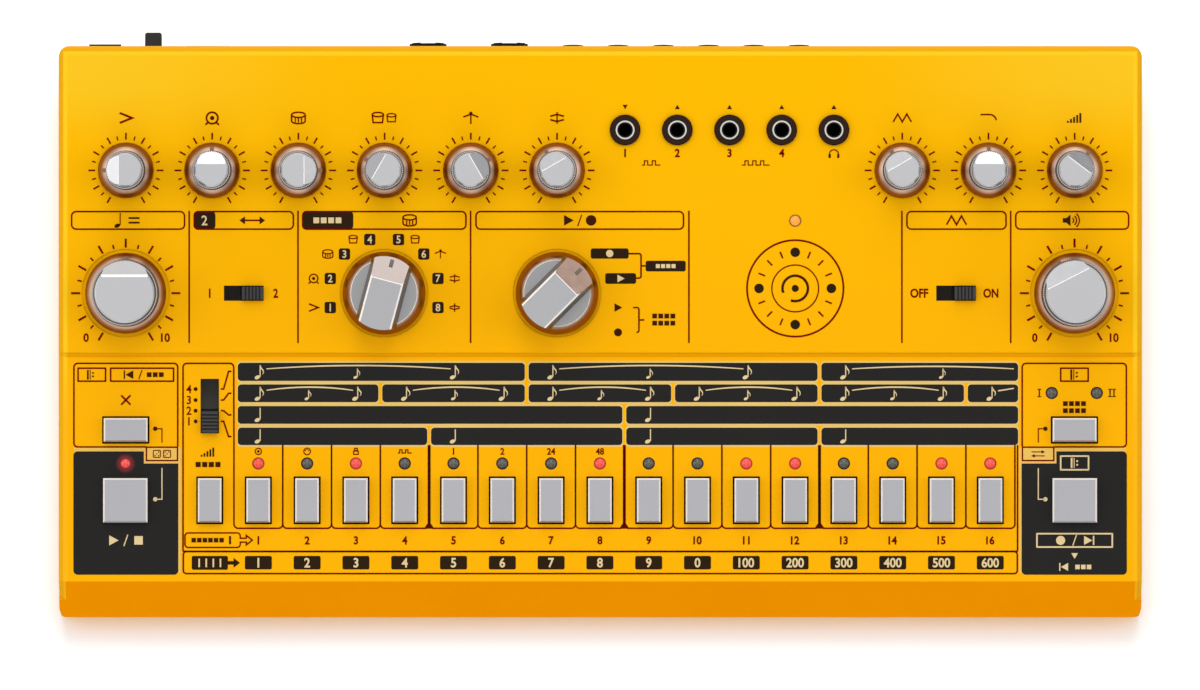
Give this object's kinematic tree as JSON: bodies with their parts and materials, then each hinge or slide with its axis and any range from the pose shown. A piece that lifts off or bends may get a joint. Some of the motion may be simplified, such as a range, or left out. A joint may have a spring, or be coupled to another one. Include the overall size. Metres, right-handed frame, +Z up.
{
  "type": "drum machine",
  "caption": "Wedge-shaped desktop drum machine with knurled metal-look knobs, slide switches, a row of step keys with lamps, and panel and rear sockets.",
  "frame": {"origin": "middle of the bounding box on the table, under the rubber feet", "axes": "+X to the player's right, +Y to the rear wall with the sockets, +Z up"},
  "size_m": [0.3058, 0.1652, 0.0559],
  "materials": {
    "case_shell": "satin moulded plastic, warm yellow",
    "silver_knob": "silver plated plastic, turned look",
    "key_cap": "satin light grey plastic",
    "black_plastic": "matt black plastic",
    "plated_steel": "nickel plated steel",
    "circuit_board": "green board lacquer",
    "lit_lamp": "glowing red lamp",
    "unlit_lamp": "clear smoky lamp, off",
    "ribbon": "grey ribbon cable",
    "foot_rubber": "black rubber"
  },
  "bodies": {
    "case": {"top_case": "case_shell", "bottom_case": "case_shell", "control_board": "circuit_board", "jack_board": "circuit_board", "potentiometers": "plated_steel", "rotary_switches": "plated_steel", "slide_switches": "black_plastic", "key_switches": "black_plastic", "panel_jacks": "plated_steel", "voice_out_jacks": "black_plastic", "jack_nuts": "black_plastic", "midi_sockets": "black_plastic", "usb_socket": "plated_steel", "dc_inlet": "black_plastic", "power_switch": "black_plastic", "output_jack": "black_plastic", "lit_leds": "lit_lamp", "unlit_leds": "unlit_lamp", "ribbon_cable": "ribbon", "case_screws": "plated_steel", "board_screws": "plated_steel", "rubber_feet": "foot_rubber"},
    "accent_knob": {"accent_knob": "silver_knob"},
    "bass_drum_knob": {"bass_drum_knob": "silver_knob"},
    "snare_drum_knob": {"snare_drum_knob": "silver_knob"},
    "tom_knob": {"tom_knob": "silver_knob"},
    "cymbal_knob": {"cymbal_knob": "silver_knob"},
    "hi_hat_knob": {"hi_hat_knob": "silver_knob"},
    "distortion_knob": {"distortion_knob": "silver_knob"},
    "tone_knob": {"tone_knob": "silver_knob"},
    "level_knob": {"level_knob": "silver_knob"},
    "tempo_knob": {"tempo_knob": "silver_knob"},
    "volume_knob": {"volume_knob": "silver_knob"},
    "instrument_selector": {"instrument_selector": "silver_knob"},
    "mode_selector": {"mode_selector": "silver_knob"},
    "sound_select_slider": {"sound_select_slider": "black_plastic"},
    "distortion_slider": {"distortion_slider": "black_plastic"},
    "scale_slider": {"scale_slider": "black_plastic"},
    "power_switch_lever": {"power_switch_lever": "black_plastic"},
    "function_key": {"function_key": "key_cap"},
    "clear_key": {"clear_key": "key_cap"},
    "start_stop_key": {"start_stop_key": "key_cap"},
    "pattern_group_key": {"pattern_group_key": "key_cap"},
    "write_next_key": {"write_next_key": "key_cap"},
    "step_key_01": {"step_key_01": "key_cap"},
    "step_key_02": {"step_key_02": "key_cap"},
    "step_key_03": {"step_key_03": "key_cap"},
    "step_key_04": {"step_key_04": "key_cap"},
    "step_key_05": {"step_key_05": "key_cap"},
    "step_key_06": {"step_key_06": "key_cap"},
    "step_key_07": {"step_key_07": "key_cap"},
    "step_key_08": {"step_key_08": "key_cap"},
    "step_key_09": {"step_key_09": "key_cap"},
    "step_key_10": {"step_key_10": "key_cap"},
    "step_key_11": {"step_key_11": "key_cap"},
    "step_key_12": {"step_key_12": "key_cap"},
    "step_key_13": {"step_key_13": "key_cap"},
    "step_key_14": {"step_key_14": "key_cap"},
    "step_key_15": {"step_key_15": "key_cap"},
    "step_key_16": {"step_key_16": "key_cap"}
  },
  "joints": [
    {"name": "accent_turn", "type": "hinge", "parent": "case", "child": "accent_knob", "pos_m": [-0.13385, 0.04164, 0.043], "axis": [0, -0.1045, 0.9945], "range_deg": [-240, 60]},
    {"name": "bass_drum_turn", "type": "hinge", "parent": "case", "child": "bass_drum_knob", "pos_m": [-0.10952, 0.04164, 0.043], "axis": [0, -0.1045, 0.9945], "range_deg": [-150, 150]},
    {"name": "snare_drum_turn", "type": "hinge", "parent": "case", "child": "snare_drum_knob", "pos_m": [-0.08519, 0.04164, 0.043], "axis": [0, -0.1045, 0.9945], "range_deg": [-60, 240]},
    {"name": "tom_turn", "type": "hinge", "parent": "case", "child": "tom_knob", "pos_m": [-0.06086, 0.04164, 0.043], "axis": [0, -0.1045, 0.9945], "range_deg": [-210, 90]},
    {"name": "cymbal_turn", "type": "hinge", "parent": "case", "child": "cymbal_knob", "pos_m": [-0.03653, 0.04164, 0.043], "axis": [0, -0.1045, 0.9945], "range_deg": [-90, 210]},
    {"name": "hi_hat_turn", "type": "hinge", "parent": "case", "child": "hi_hat_knob", "pos_m": [-0.0122, 0.04164, 0.043], "axis": [0, -0.1045, 0.9945], "range_deg": [-180, 120]},
    {"name": "distortion_turn", "type": "hinge", "parent": "case", "child": "distortion_knob", "pos_m": [0.0852, 0.04164, 0.043], "axis": [0, -0.1045, 0.9945], "range_deg": [-180, 120]},
    {"name": "tone_turn", "type": "hinge", "parent": "case", "child": "tone_knob", "pos_m": [0.10953, 0.04164, 0.043], "axis": [0, -0.1045, 0.9945], "range_deg": [-150, 150]},
    {"name": "level_turn", "type": "hinge", "parent": "case", "child": "level_knob", "pos_m": [0.13386, 0.04164, 0.043], "axis": [0, -0.1045, 0.9945], "range_deg": [-113, 187]},
    {"name": "tempo_turn", "type": "hinge", "parent": "case", "child": "tempo_knob", "pos_m": [-0.1339, 0.00718, 0.03938], "axis": [0, -0.1045, 0.9945], "range_deg": [-150, 150]},
    {"name": "volume_turn", "type": "hinge", "parent": "case", "child": "volume_knob", "pos_m": [0.1338, 0.00718, 0.03938], "axis": [0, -0.1045, 0.9945], "range_deg": [-177, 123]},
    {"name": "instrument_turn", "type": "hinge", "parent": "case", "child": "instrument_selector", "pos_m": [-0.061, 0.00718, 0.03938], "axis": [0, -0.1045, 0.9945], "range_deg": [-90, 120]},
    {"name": "mode_turn", "type": "hinge", "parent": "case", "child": "mode_selector", "pos_m": [-0.0122, 0.00718, 0.03938], "axis": [0, -0.1045, 0.9945], "range_deg": [-90, 0]},
    {"name": "sound_select_slide", "type": "slide", "parent": "case", "child": "sound_select_slider", "axis": [-1, 0, 0], "range_m": [0, 0.005]},
    {"name": "distortion_slide", "type": "slide", "parent": "case", "child": "distortion_slider", "axis": [-1, 0, 0], "range_m": [0, 0.005]},
    {"name": "scale_slide", "type": "slide", "parent": "case", "child": "scale_slider", "axis": [0, 0.9945, 0.1045], "range_m": [0, 0.009]},
    {"name": "power_slide", "type": "slide", "parent": "case", "child": "power_switch_lever", "axis": [1, 0, 0], "range_m": [0, 0.004]},
    {"name": "function_press", "type": "slide", "parent": "case", "child": "function_key", "axis": [0, 0.1045, -0.9945], "range_m": [0, 0.0008], "stiffness_N_per_m": 500, "springref_m": -0.0015},
    {"name": "clear_press", "type": "slide", "parent": "case", "child": "clear_key", "axis": [0, 0.1045, -0.9945], "range_m": [0, 0.0008], "stiffness_N_per_m": 500, "springref_m": -0.0015},
    {"name": "start_stop_press", "type": "slide", "parent": "case", "child": "start_stop_key", "axis": [0, 0.1045, -0.9945], "range_m": [0, 0.0008], "stiffness_N_per_m": 500, "springref_m": -0.0015},
    {"name": "pattern_group_press", "type": "slide", "parent": "case", "child": "pattern_group_key", "axis": [0, 0.1045, -0.9945], "range_m": [0, 0.0008], "stiffness_N_per_m": 500, "springref_m": -0.0015},
    {"name": "write_next_press", "type": "slide", "parent": "case", "child": "write_next_key", "axis": [0, 0.1045, -0.9945], "range_m": [0, 0.0008], "stiffness_N_per_m": 500, "springref_m": -0.0015},
    {"name": "step_press_01", "type": "slide", "parent": "case", "child": "step_key_01", "axis": [0, 0.1045, -0.9945], "range_m": [0, 0.0008], "stiffness_N_per_m": 500, "springref_m": -0.0015},
    {"name": "step_press_02", "type": "slide", "parent": "case", "child": "step_key_02", "axis": [0, 0.1045, -0.9945], "range_m": [0, 0.0008], "stiffness_N_per_m": 500, "springref_m": -0.0015},
    {"name": "step_press_03", "type": "slide", "parent": "case", "child": "step_key_03", "axis": [0, 0.1045, -0.9945], "range_m": [0, 0.0008], "stiffness_N_per_m": 500, "springref_m": -0.0015},
    {"name": "step_press_04", "type": "slide", "parent": "case", "child": "step_key_04", "axis": [0, 0.1045, -0.9945], "range_m": [0, 0.0008], "stiffness_N_per_m": 500, "springref_m": -0.0015},
    {"name": "step_press_05", "type": "slide", "parent": "case", "child": "step_key_05", "axis": [0, 0.1045, -0.9945], "range_m": [0, 0.0008], "stiffness_N_per_m": 500, "springref_m": -0.0015},
    {"name": "step_press_06", "type": "slide", "parent": "case", "child": "step_key_06", "axis": [0, 0.1045, -0.9945], "range_m": [0, 0.0008], "stiffness_N_per_m": 500, "springref_m": -0.0015},
    {"name": "step_press_07", "type": "slide", "parent": "case", "child": "step_key_07", "axis": [0, 0.1045, -0.9945], "range_m": [0, 0.0008], "stiffness_N_per_m": 500, "springref_m": -0.0015},
    {"name": "step_press_08", "type": "slide", "parent": "case", "child": "step_key_08", "axis": [0, 0.1045, -0.9945], "range_m": [0, 0.0008], "stiffness_N_per_m": 500, "springref_m": -0.0015},
    {"name": "step_press_09", "type": "slide", "parent": "case", "child": "step_key_09", "axis": [0, 0.1045, -0.9945], "range_m": [0, 0.0008], "stiffness_N_per_m": 500, "springref_m": -0.0015},
    {"name": "step_press_10", "type": "slide", "parent": "case", "child": "step_key_10", "axis": [0, 0.1045, -0.9945], "range_m": [0, 0.0008], "stiffness_N_per_m": 500, "springref_m": -0.0015},
    {"name": "step_press_11", "type": "slide", "parent": "case", "child": "step_key_11", "axis": [0, 0.1045, -0.9945], "range_m": [0, 0.0008], "stiffness_N_per_m": 500, "springref_m": -0.0015},
    {"name": "step_press_12", "type": "slide", "parent": "case", "child": "step_key_12", "axis": [0, 0.1045, -0.9945], "range_m": [0, 0.0008], "stiffness_N_per_m": 500, "springref_m": -0.0015},
    {"name": "step_press_13", "type": "slide", "parent": "case", "child": "step_key_13", "axis": [0, 0.1045, -0.9945], "range_m": [0, 0.0008], "stiffness_N_per_m": 500, "springref_m": -0.0015},
    {"name": "step_press_14", "type": "slide", "parent": "case", "child": "step_key_14", "axis": [0, 0.1045, -0.9945], "range_m": [0, 0.0008], "stiffness_N_per_m": 500, "springref_m": -0.0015},
    {"name": "step_press_15", "type": "slide", "parent": "case", "child": "step_key_15", "axis": [0, 0.1045, -0.9945], "range_m": [0, 0.0008], "stiffness_N_per_m": 500, "springref_m": -0.0015},
    {"name": "step_press_16", "type": "slide", "parent": "case", "child": "step_key_16", "axis": [0, 0.1045, -0.9945], "range_m": [0, 0.0008], "stiffness_N_per_m": 500, "springref_m": -0.0015}
  ]
}
